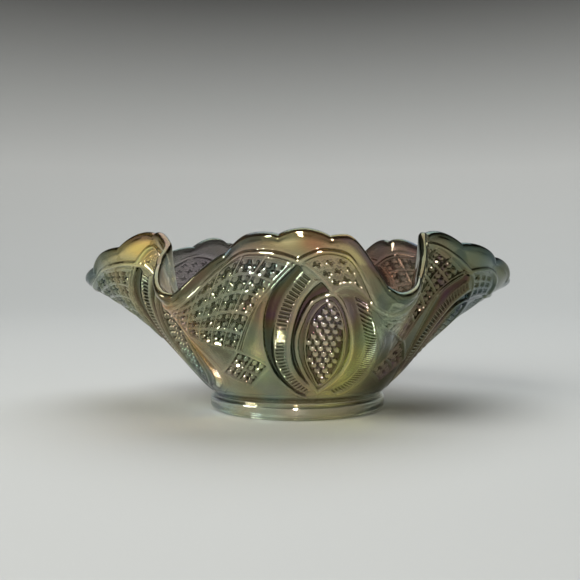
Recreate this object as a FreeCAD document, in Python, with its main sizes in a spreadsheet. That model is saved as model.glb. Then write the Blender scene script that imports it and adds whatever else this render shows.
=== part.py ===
import FreeCAD, Part
import math
import os
import Sketcher

# Pressed glass bowl on a round collar foot. The upper wall is crimped into upright folds and
# flared lobes, the rim is scalloped, and the outside carries a pressed pattern in five repeats.
# Millimetres and degrees; +Z is up; the origin is the centre of the foot ring, on the plane the
# bowl stands on. Azimuth is measured from -Y (the front) towards +X. A place on the outside is
# given by its azimuth and its share of the wall, 0 at the foot and 1 at the rim.

os.makedirs("parts", exist_ok=True)
doc = FreeCAD.newDocument("GlassBowl")
sheet = doc.addObject("Spreadsheet::Sheet", "Sizes")

SIZES = [
    # foot ring and floor
    ("foot_radius", 45.5),
    ("foot_ring_width", 9.5),
    ("foot_height", 8.0),
    ("foot_round", 2.5),
    ("floor_thickness", 4.5),
    # where the wall springs from, measured from the foot's top edge
    ("base_step", 0.5),
    ("neck_rise", 2.5),
    ("base_angle", 46.0),
    ("wall_thickness", 4.5),
    # the crimped rim: azimuths to the right and to the left, reach from the axis, height
    ("front_crest_reach", 90.0),
    ("front_crest_height", 90.0),
    ("shoulder_right", 13.5),
    ("shoulder_left", 13.5),
    ("shoulder_reach", 91.3),
    ("shoulder_height", 87.4),
    ("front_lobe_right", 27.6),
    ("front_lobe_left", 36.0),
    ("front_lobe_reach", 100.0),
    ("front_lobe_height", 61.0),
    ("fold_right_share", 0.645),
    ("fold_left_share", 0.48),
    ("fold_reach", 86.0),
    ("fold_height", 77.0),
    ("fold_left_reach", 88.5),
    ("fold_left_height", 76.0),
    ("fold_top_share", 0.74),
    ("fold_top_reach", 77.5),
    ("fold_top_height", 85.0),
    ("side_crest_right", 51.5),
    ("side_crest_left", 62.0),
    ("side_crest_reach", 78.0),
    ("side_crest_left_reach", 79.0),
    ("side_crest_left_height", 91.0),
    ("side_crest_height", 91.0),
    ("sweep_right", 80.5),
    ("sweep_left", 85.0),
    ("sweep_reach", 103.0),
    ("sweep_height", 78.0),
    ("side_lobe_right", 104.0),
    ("side_lobe_left", 104.0),
    ("side_lobe_reach", 119.0),
    ("side_lobe_height", 62.8),
    ("back_crest_right", 137.5),
    ("back_crest_left", 145.0),
    ("back_crest_reach", 86.0),
    ("back_crest_height", 88.0),
    ("back_lobe_reach", 107.0),
    ("back_lobe_height", 61.0),
    ("scallops_per_repeat", 5),
    ("scallop_depth", 2.4),
    ("scallop_turn", 1.9),
    ("bend_share", 0.48),
    ("band_share", 0.90),
    # the pattern: shares of the wall, and degrees from a medallion's axis
    ("repeat_count", 5),
    ("pattern_turn", 8.5),
    ("medallion_half_angle", 21.0),
    ("medallion_low", 0.03),
    ("medallion_high", 0.80),
    ("core_half_angle", 9.7),
    ("core_low", 0.10),
    ("core_high", 0.70),
    ("frame_width", 2.0),
    ("frame_relief", 1.1),
    ("bar_pitch", 2.6),
    ("bar_length", 5.0),
    ("bar_width", 1.2),
    ("bar_relief", 0.8),
    ("button_pitch", 3.3),
    ("button_radius", 1.35),
    ("rib_width", 1.5),
    ("rib_relief", 0.9),
    ("cusp_angle", -8.3),
    ("cusp_share", 0.85),
    ("arch_share", 0.93),
    ("point_angle", -58.7),
    ("point_share", 0.80),
    ("fan_foot_angle", -29.0),
    ("fan_foot_share", 0.42),
    ("fan_rows", 5),
    ("fan_columns", 6),
    ("block_relief", 0.9),
    ("diamond_angle", -32.5),
    ("diamond_half_angle", 12.0),
    ("diamond_share", 0.27),
    ("diamond_half_share", 0.125),
    ("diamond_cells", 4),
]
DERIVED = [
    ("foot_bore_radius", "foot_radius - foot_ring_width"),
    ("base_radius", "foot_radius + base_step"),
    ("base_height", "foot_height + neck_rise"),
    ("fold_right", "front_lobe_right + (side_crest_right - front_lobe_right) * fold_right_share"),
    ("fold_left", "front_lobe_left + (side_crest_left - front_lobe_left) * fold_left_share"),
    ("fold_top_left", "front_lobe_left + (side_crest_left - front_lobe_left) * fold_top_share"),
    ("neck_radius", "foot_radius - foot_round"),
    ("seat_radius", "base_radius - wall_thickness * sin(base_angle)"),
    ("seat_height", "base_height + wall_thickness * cos(base_angle)"),
    ("flat_height", "foot_height + floor_thickness"),
    ("flat_radius", "seat_radius - (seat_height - flat_height) / tan(base_angle)"),
]
for row, (alias, value) in enumerate(SIZES + DERIVED, start=1):
    sheet.set("A%d" % row, alias)
    sheet.set("B%d" % row, str(value) if isinstance(value, (int, float)) else "=" + value)
    sheet.setAlias("B%d" % row, alias)
doc.recompute()


def size(alias):
    return float(sheet.get(alias))


def count(alias):
    return int(round(size(alias)))


# ------------------------------------------------------------------ the foot and the floor

def turned_body(label, corners):
    """A body turned about Z from a closed outline whose corners are names from the sheet."""
    body = doc.addObject("PartDesign::Body", label)
    sketch = body.newObject("Sketcher::SketchObject", label + "_profile")
    plane = [f for f in body.Origin.OriginFeatures if f.Role == "XZ_Plane"][0]
    sketch.AttachmentSupport = [(plane, "")]
    sketch.MapMode = "FlatFace"
    places = [[size(name) if name else 0.0 for name in corner] for corner in corners]
    total = len(corners)
    for i in range(total):
        start = FreeCAD.Vector(places[i][0], places[i][1], 0)
        end = FreeCAD.Vector(places[(i + 1) % total][0], places[(i + 1) % total][1], 0)
        sketch.addGeometry(Part.LineSegment(start, end), False)
    for i in range(total):
        sketch.addConstraint(Sketcher.Constraint("Coincident", i, 2, (i + 1) % total, 1))
    for i in range(total):
        for kind, axis, name, value in (
            ("DistanceX", -2, corners[i][0], places[i][0]),
            ("DistanceY", -1, corners[i][1], places[i][1]),
        ):
            if not name:
                sketch.addConstraint(Sketcher.Constraint("PointOnObject", i, 1, axis))
                continue
            index = sketch.addConstraint(Sketcher.Constraint(kind, -1, 1, i, 1, value))
            sketch.setExpression("Constraints[%d]" % index, "Sizes." + name)
    turned = body.newObject("PartDesign::Revolution", label + "_turned")
    turned.Profile = sketch
    turned.ReferenceAxis = (sketch, ["V_Axis"])
    turned.Angle = 360
    body.Tip = turned
    doc.recompute()
    return body, turned


def rounded(body, feature, label, places, radius_name):
    """Round the circular edges of a turned feature that lie at these radii and heights."""
    names = []
    for index, edge in enumerate(feature.Shape.Edges, start=1):
        curve = edge.Curve
        if not isinstance(curve, Part.Circle):
            continue
        for radius, height in places:
            if abs(curve.Radius - radius) < 0.01 and abs(curve.Center.z - height) < 0.01:
                names.append("Edge%d" % index)
    fillet = body.newObject("PartDesign::Fillet", label)
    fillet.Base = (feature, names)
    fillet.setExpression("Radius", "Sizes." + radius_name)
    body.Tip = fillet
    doc.recompute()
    return fillet


foot, foot_turned = turned_body("collar_foot", [
    ("foot_bore_radius", ""),
    ("foot_radius", ""),
    ("foot_radius", "foot_height"),
    ("foot_bore_radius", "foot_height"),
])
rounded(foot, foot_turned, "foot_edges", [
    (size("foot_radius"), 0.0),
    (size("foot_radius"), size("foot_height")),
], "foot_round")

floor, floor_turned = turned_body("bowl_floor", [
    ("", "foot_height"),
    ("neck_radius", "foot_height"),
    ("base_radius", "base_height"),
    ("seat_radius", "seat_height"),
    ("flat_radius", "flat_height"),
    ("", "flat_height"),
])

# ------------------------------------------------------------------ the crimped wall

def rim_stations():
    """Crests, lobes and the slopes between them round the rim: (azimuth, reach, height)."""
    names = ("shoulder", "front_lobe", "fold", "side_crest", "sweep", "side_lobe", "back_crest")
    back = (-180.0, size("back_lobe_reach"), size("back_lobe_height"))
    front = (0.0, size("front_crest_reach"), size("front_crest_height"))
    left = [(-size(n + "_left"), size(n + "_reach"), size(n + "_height")) for n in names]
    right = [(size(n + "_right"), size(n + "_reach"), size(n + "_height")) for n in names]
    for name in ("fold", "side_crest"):
        i = names.index(name)
        left[i] = (left[i][0], size(name + "_left_reach"), size(name + "_left_height"))
    top = (-size("fold_top_left"), size("fold_top_reach"), size("fold_top_height"))
    left.insert(names.index("side_crest"), top)
    return [back] + left[::-1] + [front] + right


STATIONS = rim_stations()
BASE = (size("base_radius"), size("base_height"))
BASE_ANGLE = math.radians(size("base_angle"))
THICKNESS = size("wall_thickness")
REPEATS = count("repeat_count")
SCALLOPS = count("scallops_per_repeat") * REPEATS
COLUMNS = 7 * SCALLOPS


def station_slopes(place):
    """Slopes at the stations for an even curve that never overshoots a crest or a lobe."""
    total = len(STATIONS)
    steps = []
    rises = []
    for i in range(total):
        here, there = STATIONS[i], STATIONS[(i + 1) % total]
        steps.append((there[0] - here[0]) % 360.0)
        rises.append((there[place] - here[place]) / steps[-1])
    slopes = []
    for i in range(total):
        before, after = rises[i - 1], rises[i]
        if before * after <= 0:
            slopes.append(0.0)
            continue
        w0 = 2.0 * steps[i] + steps[i - 1]
        w1 = steps[i] + 2.0 * steps[i - 1]
        slopes.append((w0 + w1) / (w0 / before + w1 / after))
    return slopes


SLOPES = {1: station_slopes(1), 2: station_slopes(2)}


def rim_point(azimuth):
    """Reach and height of the plain rim."""
    total = len(STATIONS)
    turn = (azimuth + 180.0) % 360.0 - 180.0
    i = max(k for k in range(total) if STATIONS[k][0] <= turn)
    here, there = STATIONS[i], STATIONS[(i + 1) % total]
    step = (there[0] - here[0]) % 360.0
    u = (turn - here[0]) / step
    values = []
    for place in (1, 2):
        m0, m1 = SLOPES[place][i] * step, SLOPES[place][(i + 1) % total] * step
        values.append(
            here[place] * (1 + 2 * u) * (1 - u) ** 2 + m0 * u * (1 - u) ** 2
            + there[place] * u * u * (3 - 2 * u) + m1 * u * u * (u - 1))
    return values[0], values[1]


def meridian(azimuth, inset=0.0):
    """Control points (radius, height) of the wall's curve at one azimuth, foot to rim.

    The outside is close to a circular arc that leaves the foot at the base angle; inset gives
    the parallel curve inside the glass.
    """
    reach, height = rim_point(azimuth)
    across = reach - BASE[0]
    rise = height - BASE[1]
    chord = math.hypot(across, rise)
    half_turn = math.atan2(rise, across) - BASE_ANGLE
    end_angle = BASE_ANGLE + 2.0 * half_turn
    if abs(half_turn) < 1e-5:
        handle, bend = chord / 3.0, 0.0
    else:
        handle = chord / 3.0 * math.tan(half_turn / 2.0) * 2.0 / math.sin(half_turn)
        bend = 2.0 * math.sin(half_turn) / chord
    handle *= 1.0 - inset * bend
    start = (BASE[0] - inset * math.sin(BASE_ANGLE), BASE[1] + inset * math.cos(BASE_ANGLE))
    end = (reach - inset * math.sin(end_angle), height + inset * math.cos(end_angle))
    return [
        start,
        (start[0] + handle * math.cos(BASE_ANGLE), start[1] + handle * math.sin(BASE_ANGLE)),
        (end[0] - handle * math.cos(end_angle), end[1] - handle * math.sin(end_angle)),
        end,
    ]


def split(points, share):
    """Cut a cubic at a share of its length into two cubics."""
    def mix(p, q):
        return tuple(a + (b - a) * share for a, b in zip(p, q))
    ab, bc, cd = (mix(points[i], points[i + 1]) for i in range(3))
    abc, bcd = mix(ab, bc), mix(bc, cd)
    middle = mix(abc, bcd)
    return [points[0], ab, abc, middle], [middle, bcd, cd, points[3]]


def in_space(azimuth, place):
    turn = math.radians(azimuth)
    return FreeCAD.Vector(place[0] * math.sin(turn), -place[0] * math.cos(turn), place[1])


def on_outside(azimuth, share):
    curve = split(meridian(azimuth), share)[0]
    return in_space(azimuth, curve[3])


def outward(azimuth, share):
    """Unit normal of the outside, pointing out of the glass."""
    step = 0.002
    around = on_outside(azimuth + 0.2, share) - on_outside(azimuth - 0.2, share)
    along = on_outside(azimuth, share + step) - on_outside(azimuth, share - step)
    return around.cross(along).normalize()


def ring_rows(profile_at):
    """Rows of points, one per control point of the profile, over every column of the ring."""
    columns = []
    for i in range(COLUMNS):
        azimuth = 360.0 * i / COLUMNS
        columns.append([in_space(azimuth, place) for place in profile_at(azimuth)])
    return [list(row) for row in zip(*columns)]


def closed_poles(points):
    """Poles of the periodic cubic that passes through the points at even steps."""
    curve = Part.BSplineCurve()
    steps = [float(i) for i in range(len(points) + 1)]
    curve.interpolate(Points=points, PeriodicFlag=True, Parameters=steps)
    return curve.getPoles()


def ring_face(rows):
    """A face through closed rows of poles: straight across two rows, a cubic across four."""
    total = len(rows[0])
    degree = len(rows) - 1
    poles = [[row[i] for row in rows] for i in range(total)]
    surface = Part.BSplineSurface()
    surface.buildFromPolesMultsKnots(
        poles, [1] * (total + 1), [degree + 1] * 2,
        [float(i) for i in range(total + 1)], [0.0, 1.0], True, False, 3, degree)
    return surface.toShape()


def closed_solid(faces):
    shell = Part.Shell(faces)
    shell.sewShape()
    solid = Part.Solid(shell)
    if solid.Volume < 0:
        solid.reverse()
    return solid


def ring_solid(patches):
    """A closed ring from patches of rows; each patch starts on the row where the last ended."""
    faces = []
    done = {}
    for rows in patches:
        poles = []
        for row in rows:
            if id(row) not in done:
                done[id(row)] = closed_poles(row)
            poles.append(done[id(row)])
        faces.append(ring_face(poles))
    return closed_solid(faces)


def add_feature(label, shape):
    feature = doc.addObject("Part::Feature", label)
    feature.Label = label
    feature.Shape = shape
    feature.Placement = FreeCAD.Placement()
    return feature


def wall_piece(azimuth, inset, low, high):
    """The wall's curve between two shares of its length."""
    curve = split(meridian(azimuth, inset), high)[0]
    return split(curve, low / high)[1]


def wall_ring(label, low, high):
    """A ring of the wall between two shares, with straight joints across the glass."""
    outer = ring_rows(lambda a: wall_piece(a, 0.0, low, high))
    inner = ring_rows(lambda a: wall_piece(a, THICKNESS, low, high))
    return add_feature(label, ring_solid([
        outer,
        [outer[3], inner[3]],
        inner[::-1],
        [inner[0], outer[0]],
    ]))


BEND = size("bend_share")
BAND = size("band_share")
wall_ring("lower_wall", 0.0, BEND)
wall_ring("fluted_wall", BEND, BAND)


def scalloped(azimuth, inset):
    """The band's curve, drawn out or in along the wall so that its end follows the scallops."""
    curve = split(meridian(azimuth, inset), BAND)[1]
    wave = abs(math.cos(math.radians(azimuth - size("scallop_turn")) * SCALLOPS / 2.0)) ** 0.8 - 0.6
    run = math.hypot(curve[3][0] - curve[2][0], curve[3][1] - curve[2][1])
    way = [(curve[3][i] - curve[2][i]) / run for i in range(2)]
    out = size("scallop_depth") * wave - THICKNESS / 2.0
    curve[2] = tuple(curve[2][i] + way[i] * out * 0.6 for i in range(2))
    curve[3] = tuple(curve[3][i] + way[i] * out for i in range(2))
    return curve, way


def lip_outer(azimuth):
    curve, way = scalloped(azimuth, 0.0)
    swell = THICKNESS * 2.0 / 3.0
    return curve + [tuple(curve[3][i] + way[i] * swell for i in range(2))]


def lip_inner(azimuth):
    curve, way = scalloped(azimuth, THICKNESS)
    swell = THICKNESS * 2.0 / 3.0
    return curve + [tuple(curve[3][i] + way[i] * swell for i in range(2))]


outer_high = ring_rows(lip_outer)
inner_high = ring_rows(lip_inner)
add_feature("rim_band", ring_solid([
    outer_high[:4],
    [outer_high[3], outer_high[4], inner_high[4], inner_high[3]],
    inner_high[:4][::-1],
    [inner_high[0], outer_high[0]],
]))

# ------------------------------------------------------------------ the pressed pattern

def on_pattern(repeat, angle):
    """Azimuth of a place given by its repeat and its angle from that medallion's axis."""
    return 360.0 / REPEATS * repeat + size("pattern_turn") + angle


def section(spot, normal, way, width, relief):
    """Control points of a half-round rib section that stands on the glass."""
    side = way.cross(normal).normalize() * (width / 2.0)
    lift = normal * (relief * 4.0 / 3.0)
    return [spot - side, spot - side + lift, spot + side + lift, spot + side]


def rib(places, width, relief):
    """An open half-round rib along (azimuth, share) places on the outside."""
    spots = [on_outside(a, s) for a, s in places]
    last = len(spots) - 1
    wires = []
    for i, (azimuth, share) in enumerate(places):
        normal = outward(azimuth, share)
        way = spots[min(i + 1, last)] - spots[max(i - 1, 0)]
        way = (way - normal * way.dot(normal)).normalize()
        points = section(spots[i], normal, way, width, relief)
        crown = Part.BezierCurve()
        crown.setPoles(points)
        wires.append(Part.Wire([crown.toShape(), Part.makeLine(points[3], points[0])]))
    return Part.makeLoft(wires, True, False)


def closed_rib(places, width, relief):
    """A closed half-round rib round a loop of (azimuth, share) places."""
    spots = [on_outside(a, s) for a, s in places]
    columns = []
    for i, (azimuth, share) in enumerate(places):
        normal = outward(azimuth, share)
        way = spots[(i + 1) % len(spots)] - spots[i - 1]
        way = (way - normal * way.dot(normal)).normalize()
        columns.append(section(spots[i], normal, way, width, relief))
    rows = [list(row) for row in zip(*columns)]
    return ring_solid([rows, [rows[3], rows[0]]])


def pointed_oval(t):
    """A closed outline for t in 0..1: half width, and share of the height from 0 to 1."""
    turn = 2.0 * math.pi * t
    return math.sin(turn) * (1.0 - 0.12 * math.cos(turn)), (1.0 - math.cos(turn)) / 2.0


def oval_place(repeat, t, half_angle, low, high):
    across, up = pointed_oval(t)
    share = low + (high - low) * up
    return on_pattern(repeat, half_angle * across), share


def compound(solids):
    return Part.makeCompound(solids)


OUTER = (size("medallion_half_angle"), size("medallion_low"), size("medallion_high"))
CORE = (size("core_half_angle"), size("core_low"), size("core_high"))
frames = []
for repeat in range(REPEATS):
    for outline in (OUTER, CORE):
        loop = [oval_place(repeat, i / 40.0, *outline) for i in range(40)]
        frames.append(closed_rib(loop, size("frame_width"), size("frame_relief")))
add_feature("medallion_frames", compound(frames))


def file_bars(repeat, side):
    """Short bars between the two ovals of a medallion, at an even pitch along the band."""
    bars = []
    steps = 400
    walked = 0.0
    previous = None
    for i in range(int(steps * 0.04), int(steps * 0.46)):
        t = i / steps if side > 0 else 1.0 - i / steps
        outer = oval_place(repeat, t, *OUTER)
        inner = oval_place(repeat, t, *CORE)
        ends = [on_outside(*outer), on_outside(*inner)]
        spot = ends[0]
        if previous is not None:
            walked += (spot - previous).Length
        previous = spot
        gap = (ends[1] - ends[0]).Length
        if walked < size("bar_pitch") and bars:
            continue
        walked = 0.0
        margin = (size("frame_width") * 0.5 + 0.3) / gap
        end = margin + size("bar_length") / gap
        if end > 1.0 - margin:
            continue
        places = []
        for share in (margin, (margin + end) / 2.0, end):
            places.append(tuple(outer[k] + (inner[k] - outer[k]) * share for k in range(2)))
        bars.append(rib(places, size("bar_width"), size("bar_relief")))
    return bars


bars = []
for repeat in range(REPEATS):
    for side in (1, -1):
        bars += file_bars(repeat, side)
add_feature("file_bars", compound(bars))


def core_buttons(repeat):
    """Domed buttons packed in staggered rows inside a medallion's inner oval."""
    domes = []
    pitch = size("button_pitch")
    radius = size("button_radius")
    half_angle, low, high = CORE
    axis = on_pattern(repeat, 0.0)
    length = (on_outside(axis, high) - on_outside(axis, low)).Length
    rows = int(length / (pitch * 0.87))
    for row in range(1, rows):
        share = low + (high - low) * row / rows
        up = (share - low) / (high - low)
        half = half_angle * math.sqrt(max(0.0, 1.0 - (2.0 * up - 1.0) ** 2))
        reach = on_outside(axis, share)
        step = math.degrees(pitch / math.hypot(reach.x, reach.y))
        room = half - math.degrees((radius + size("frame_width")) / math.hypot(reach.x, reach.y))
        for column in range(-12, 13):
            angle = (column + 0.5 * (row % 2)) * step
            if abs(angle) > room:
                continue
            azimuth = on_pattern(repeat, angle)
            spot = on_outside(azimuth, share)
            domes.append(Part.makeSphere(radius, spot, outward(azimuth, share), 0, 90, 360))
    return domes


buttons = []
for repeat in range(REPEATS):
    buttons += core_buttons(repeat)
add_feature("cane_buttons", compound(buttons))

CUSP = (size("cusp_angle"), size("cusp_share"))
POINT = (size("point_angle"), size("point_share"))
NEXT_POINT = (POINT[0] + 360.0 / REPEATS, POINT[1])
FAN_FOOT = (size("fan_foot_angle"), size("fan_foot_share"))


def between(start, end, t):
    return [start[k] + (end[k] - start[k]) * t for k in range(2)]


def arch(start, end, crown, t):
    """Angle and share along an arch that bows up to its crown half way."""
    angle, share = between(start, end, t)
    return angle, share + (crown - (start[1] + end[1]) / 2.0) * 4.0 * t * (1.0 - t)


def fan(row, column):
    """Angle and share inside a fan: row 0 at its lower edge to 1 at the arch, column 0 at the
    point to 1 at the strap."""
    angle, share = between(POINT, between(FAN_FOOT, CUSP, row), column)
    bow = arch(POINT, CUSP, size("arch_share"), column)[1] - between(POINT, CUSP, column)[1]
    return angle, share + bow * row


def path_rib(repeat, places):
    path = [(on_pattern(repeat, angle), share) for angle, share in places]
    return rib(path, size("rib_width"), size("rib_relief"))


arches = []
straps = []
for repeat in range(REPEATS):
    crown = size("arch_share")
    arches.append(path_rib(repeat, [arch(CUSP, POINT, crown, i / 16.0) for i in range(17)]))
    low_crown = (crown + CUSP[1]) / 2.0
    short = [arch(CUSP, NEXT_POINT, low_crown, 0.06 + 0.94 * i / 8.0) for i in range(9)]
    arches.append(path_rib(repeat, short))
    edge = [between(CUSP, FAN_FOOT, 0.05 + 0.95 * i / 8.0) for i in range(9)]
    straps.append(path_rib(repeat, edge))
    edge = [between(FAN_FOOT, POINT, 0.05 + 0.90 * i / 8.0) for i in range(9)]
    straps.append(path_rib(repeat, edge))
add_feature("arch_ribs", compound(arches))
add_feature("strap_ribs", compound(straps))


def block(corners, relief, inset):
    """A low block with sloping sides over four (azimuth, share) corners of the outside."""
    feet = [on_outside(a, s) for a, s in corners]
    middle = (feet[0] + feet[1] + feet[2] + feet[3]) * 0.25
    centre = [sum(c[k] for c in corners) / 4.0 for k in range(2)]
    lift = outward(*centre) * relief
    tops = [f + (middle - f) * inset + lift for f in feet]
    faces = []
    for ring in (feet, tops):
        for a, b, c in ((0, 1, 2), (0, 2, 3)):
            faces.append((ring[a], ring[b], ring[c]))
    for i in range(4):
        j = (i + 1) % 4
        faces.append((feet[i], feet[j], tops[j]))
        faces.append((feet[i], tops[j], tops[i]))
    shapes = [Part.Face(Part.makePolygon([a, b, c, a])) for a, b, c in faces]
    return closed_solid(shapes)


def block_grid(place, rows, columns, gap, relief, inset):
    """Blocks over a grid; place(row, column) takes shares of the grid from 0 to 1."""
    blocks = []
    for i in range(rows):
        for j in range(columns):
            low, high = (i + gap) / rows, (i + 1 - gap) / rows
            left, right = (j + gap) / columns, (j + 1 - gap) / columns
            ring = [(low, left), (low, right), (high, right), (high, left)]
            blocks.append(block([place(*corner) for corner in ring], relief, inset))
    return blocks


fans = []
diamonds = []
for repeat in range(REPEATS):
    def fan_place(row, column):
        angle, share = fan(0.06 + 0.88 * row, 0.22 + 0.72 * column)
        return on_pattern(repeat, angle), share

    def diamond_place(row, column):
        across, up = column - row, column + row - 1.0
        share = size("diamond_share") + size("diamond_half_share") * up
        angle = size("diamond_angle") + size("diamond_half_angle") * across
        return on_pattern(repeat, angle), share

    relief = size("block_relief")
    fans += block_grid(fan_place, count("fan_rows"), count("fan_columns"), 0.1, relief, 0.3)
    cells = count("diamond_cells")
    diamonds += block_grid(diamond_place, cells, cells, 0.12, relief, 0.3)
add_feature("fan_blocks", compound(fans))
add_feature("diamond_blocks", compound(diamonds))

# ------------------------------------------------------------------ check and write

doc.recompute()
NODES = [
    "collar_foot", "bowl_floor", "lower_wall", "fluted_wall", "rim_band", "medallion_frames",
    "file_bars", "cane_buttons", "arch_ribs", "strap_ribs", "fan_blocks", "diamond_blocks",
]
for item in doc.Objects:
    bad = [state for state in item.State if state in ("Invalid", "Error")]
    if bad:
        raise RuntimeError("%s is %s" % (item.Label, bad))
for name in NODES:
    node = doc.getObjectsByLabel(name)[0]
    shape = node.Shape
    if shape.isNull() or not shape.isValid() or not shape.Solids:
        raise RuntimeError("%s has no valid solid" % name)
    for solid in shape.Solids:
        if solid.Volume <= 0 or not solid.isClosed():
            raise RuntimeError("%s has a solid that is open or inside out" % name)
    shape.exportStep("parts/%s.step" % name)
    box = shape.BoundBox
    print("%-18s %4d solids %10.1f mm3  x %.1f..%.1f  y %.1f..%.1f  z %.1f..%.1f" % (
        name, len(shape.Solids), shape.Volume,
        box.XMin, box.XMax, box.YMin, box.YMax, box.ZMin, box.ZMax))
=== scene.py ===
import math

import bpy
import numpy as np
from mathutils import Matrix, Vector


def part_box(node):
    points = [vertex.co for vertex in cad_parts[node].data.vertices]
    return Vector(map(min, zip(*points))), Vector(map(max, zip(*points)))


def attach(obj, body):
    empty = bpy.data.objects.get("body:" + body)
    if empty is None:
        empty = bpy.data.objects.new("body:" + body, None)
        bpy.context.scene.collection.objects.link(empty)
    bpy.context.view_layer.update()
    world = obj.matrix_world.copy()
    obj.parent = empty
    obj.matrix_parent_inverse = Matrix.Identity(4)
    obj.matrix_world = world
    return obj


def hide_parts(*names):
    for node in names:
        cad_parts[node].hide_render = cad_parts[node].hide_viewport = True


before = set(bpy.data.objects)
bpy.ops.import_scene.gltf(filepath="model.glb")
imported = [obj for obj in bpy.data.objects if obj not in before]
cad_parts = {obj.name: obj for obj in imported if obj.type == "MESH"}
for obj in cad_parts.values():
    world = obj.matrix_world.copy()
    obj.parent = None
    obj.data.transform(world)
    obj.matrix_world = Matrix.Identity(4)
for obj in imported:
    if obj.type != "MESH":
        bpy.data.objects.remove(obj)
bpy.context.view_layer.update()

# Pressed glass bowl. The glass is one skin of points laid out over azimuth (round the bowl) and
# share (up the wall); the pressed pattern is a height over that skin, drawn once and repeated
# five times. Lengths here are millimetres and angles degrees, until the mesh is made in metres.

# ------------------------------------------------------------------ the plain shape of the glass

REPEATS = 5
SCALLOPS = 25
SCALLOP_DEPTH = 2.4
SCALLOP_TURN = 1.9
THICKNESS = 4.5
BASE_RADIUS, BASE_HEIGHT, BASE_ANGLE = 46.0, 10.5, math.radians(46.0)
FOOT_RADIUS, FOOT_BORE, FOOT_ROUND = 45.5, 36.0, 2.5
FOOT_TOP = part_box("collar_foot")[1].z * 1000.0
FLOOR_TOP = FOOT_TOP + THICKNESS
BAND = 0.90
PATTERN_TURN = 8.5

# crests, lobes and folds round the rim: azimuth, reach from the axis, height
RIM = np.array([
    (-180.0, 107.0, 61.0),
    (-145.0, 86.0, 88.0),
    (-104.0, 119.0, 62.8),
    (-85.0, 103.0, 78.0),
    (-62.0, 79.0, 91.0),
    (-55.24, 77.5, 85.0),
    (-48.48, 88.5, 76.0),
    (-36.0, 100.0, 61.0),
    (-13.5, 91.3, 87.4),
    (0.0, 90.0, 90.0),
    (13.5, 91.3, 87.4),
    (27.6, 100.0, 61.0),
    (43.0, 86.0, 77.0),
    (51.5, 78.0, 91.0),
    (80.5, 103.0, 78.0),
    (104.0, 119.0, 62.8),
    (137.5, 86.0, 88.0),
])


def rim_curve(azimuth, place):
    """Reach (place 1) or height (place 2) of the rim: an even curve that never overshoots."""
    at, value = RIM[:, 0], RIM[:, place]
    step = (np.roll(at, -1) - at) % 360.0
    rise = (np.roll(value, -1) - value) / step
    before, after = np.roll(rise, 1), rise
    w0 = 2.0 * step + np.roll(step, 1)
    w1 = step + 2.0 * np.roll(step, 1)
    turning = before * after <= 0.0
    safe_before = np.where(turning, 1.0, before)
    safe_after = np.where(turning, 1.0, after)
    slope = np.where(turning, 0.0, (w0 + w1) / (w0 / safe_before + w1 / safe_after))
    turn = (np.asarray(azimuth, float) + 180.0) % 360.0 - 180.0
    i = np.clip(np.searchsorted(at, turn, side="right") - 1, 0, len(at) - 1)
    j = (i + 1) % len(at)
    u = (turn - at[i]) / step[i]
    return (
        value[i] * (1 + 2 * u) * (1 - u) ** 2 + slope[i] * step[i] * u * (1 - u) ** 2
        + value[j] * u * u * (3 - 2 * u) + slope[j] * step[i] * u * u * (u - 1))


def meridian(azimuth, inset):
    """Four control points, each (radius, height), of the wall's curve at every azimuth."""
    reach, height = rim_curve(azimuth, 1), rim_curve(azimuth, 2)
    across, rise = reach - BASE_RADIUS, height - BASE_HEIGHT
    chord = np.hypot(across, rise)
    half = np.arctan2(rise, across) - BASE_ANGLE
    half = np.where(np.abs(half) < 1e-5, 1e-5, half)
    end = BASE_ANGLE + 2.0 * half
    handle = chord / 3.0 * np.tan(half / 2.0) * 2.0 / np.sin(half)
    handle = handle * (1.0 - inset * 2.0 * np.sin(half) / chord)
    r0 = np.full_like(reach, BASE_RADIUS - inset * math.sin(BASE_ANGLE))
    z0 = np.full_like(reach, BASE_HEIGHT + inset * math.cos(BASE_ANGLE))
    r3, z3 = reach - inset * np.sin(end), height + inset * np.cos(end)
    return np.array([
        (r0, z0),
        (r0 + handle * math.cos(BASE_ANGLE), z0 + handle * math.sin(BASE_ANGLE)),
        (r3 - handle * np.cos(end), z3 - handle * np.sin(end)),
        (r3, z3),
    ])


def cubic(points, t):
    """A point on every column's cubic at t, which is one number or one per row."""
    t = np.asarray(t, float)[:, None]
    weights = ((1 - t) ** 3, 3 * t * (1 - t) ** 2, 3 * t * t * (1 - t), t ** 3)
    radius = sum(w * points[k, 0][None] for k, w in enumerate(weights))
    height = sum(w * points[k, 1][None] for k, w in enumerate(weights))
    return radius, height


def upper_part(points, share):
    """The cubics' part above a share."""
    ab = points[0] + (points[1] - points[0]) * share
    bc = points[1] + (points[2] - points[1]) * share
    cd = points[2] + (points[3] - points[2]) * share
    abc, bcd = ab + (bc - ab) * share, bc + (cd - bc) * share
    return np.array([abc + (bcd - abc) * share, bcd, cd, points[3]])


def rim_band(azimuth, inset):
    """The band's cubics, drawn in and out along the wall for the scallops, and their way."""
    curve = upper_part(meridian(azimuth, inset), BAND)
    wave = np.abs(np.cos(np.radians(azimuth - SCALLOP_TURN) * SCALLOPS / 2.0)) ** 0.8 - 0.6
    way = curve[3] - curve[2]
    way = way / np.hypot(way[0], way[1])
    out = SCALLOP_DEPTH * wave - THICKNESS / 2.0
    curve[2] = curve[2] + way * out * 0.6
    curve[3] = curve[3] + way * out
    return curve, way


def in_space(azimuth, radius, height):
    """Points (x, y, z) at some radii and heights, one column for each azimuth."""
    turn = np.radians(azimuth)[None]
    return np.stack([radius * np.sin(turn), -radius * np.cos(turn), height], -1)


# ------------------------------------------------------------------ the grid

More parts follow.
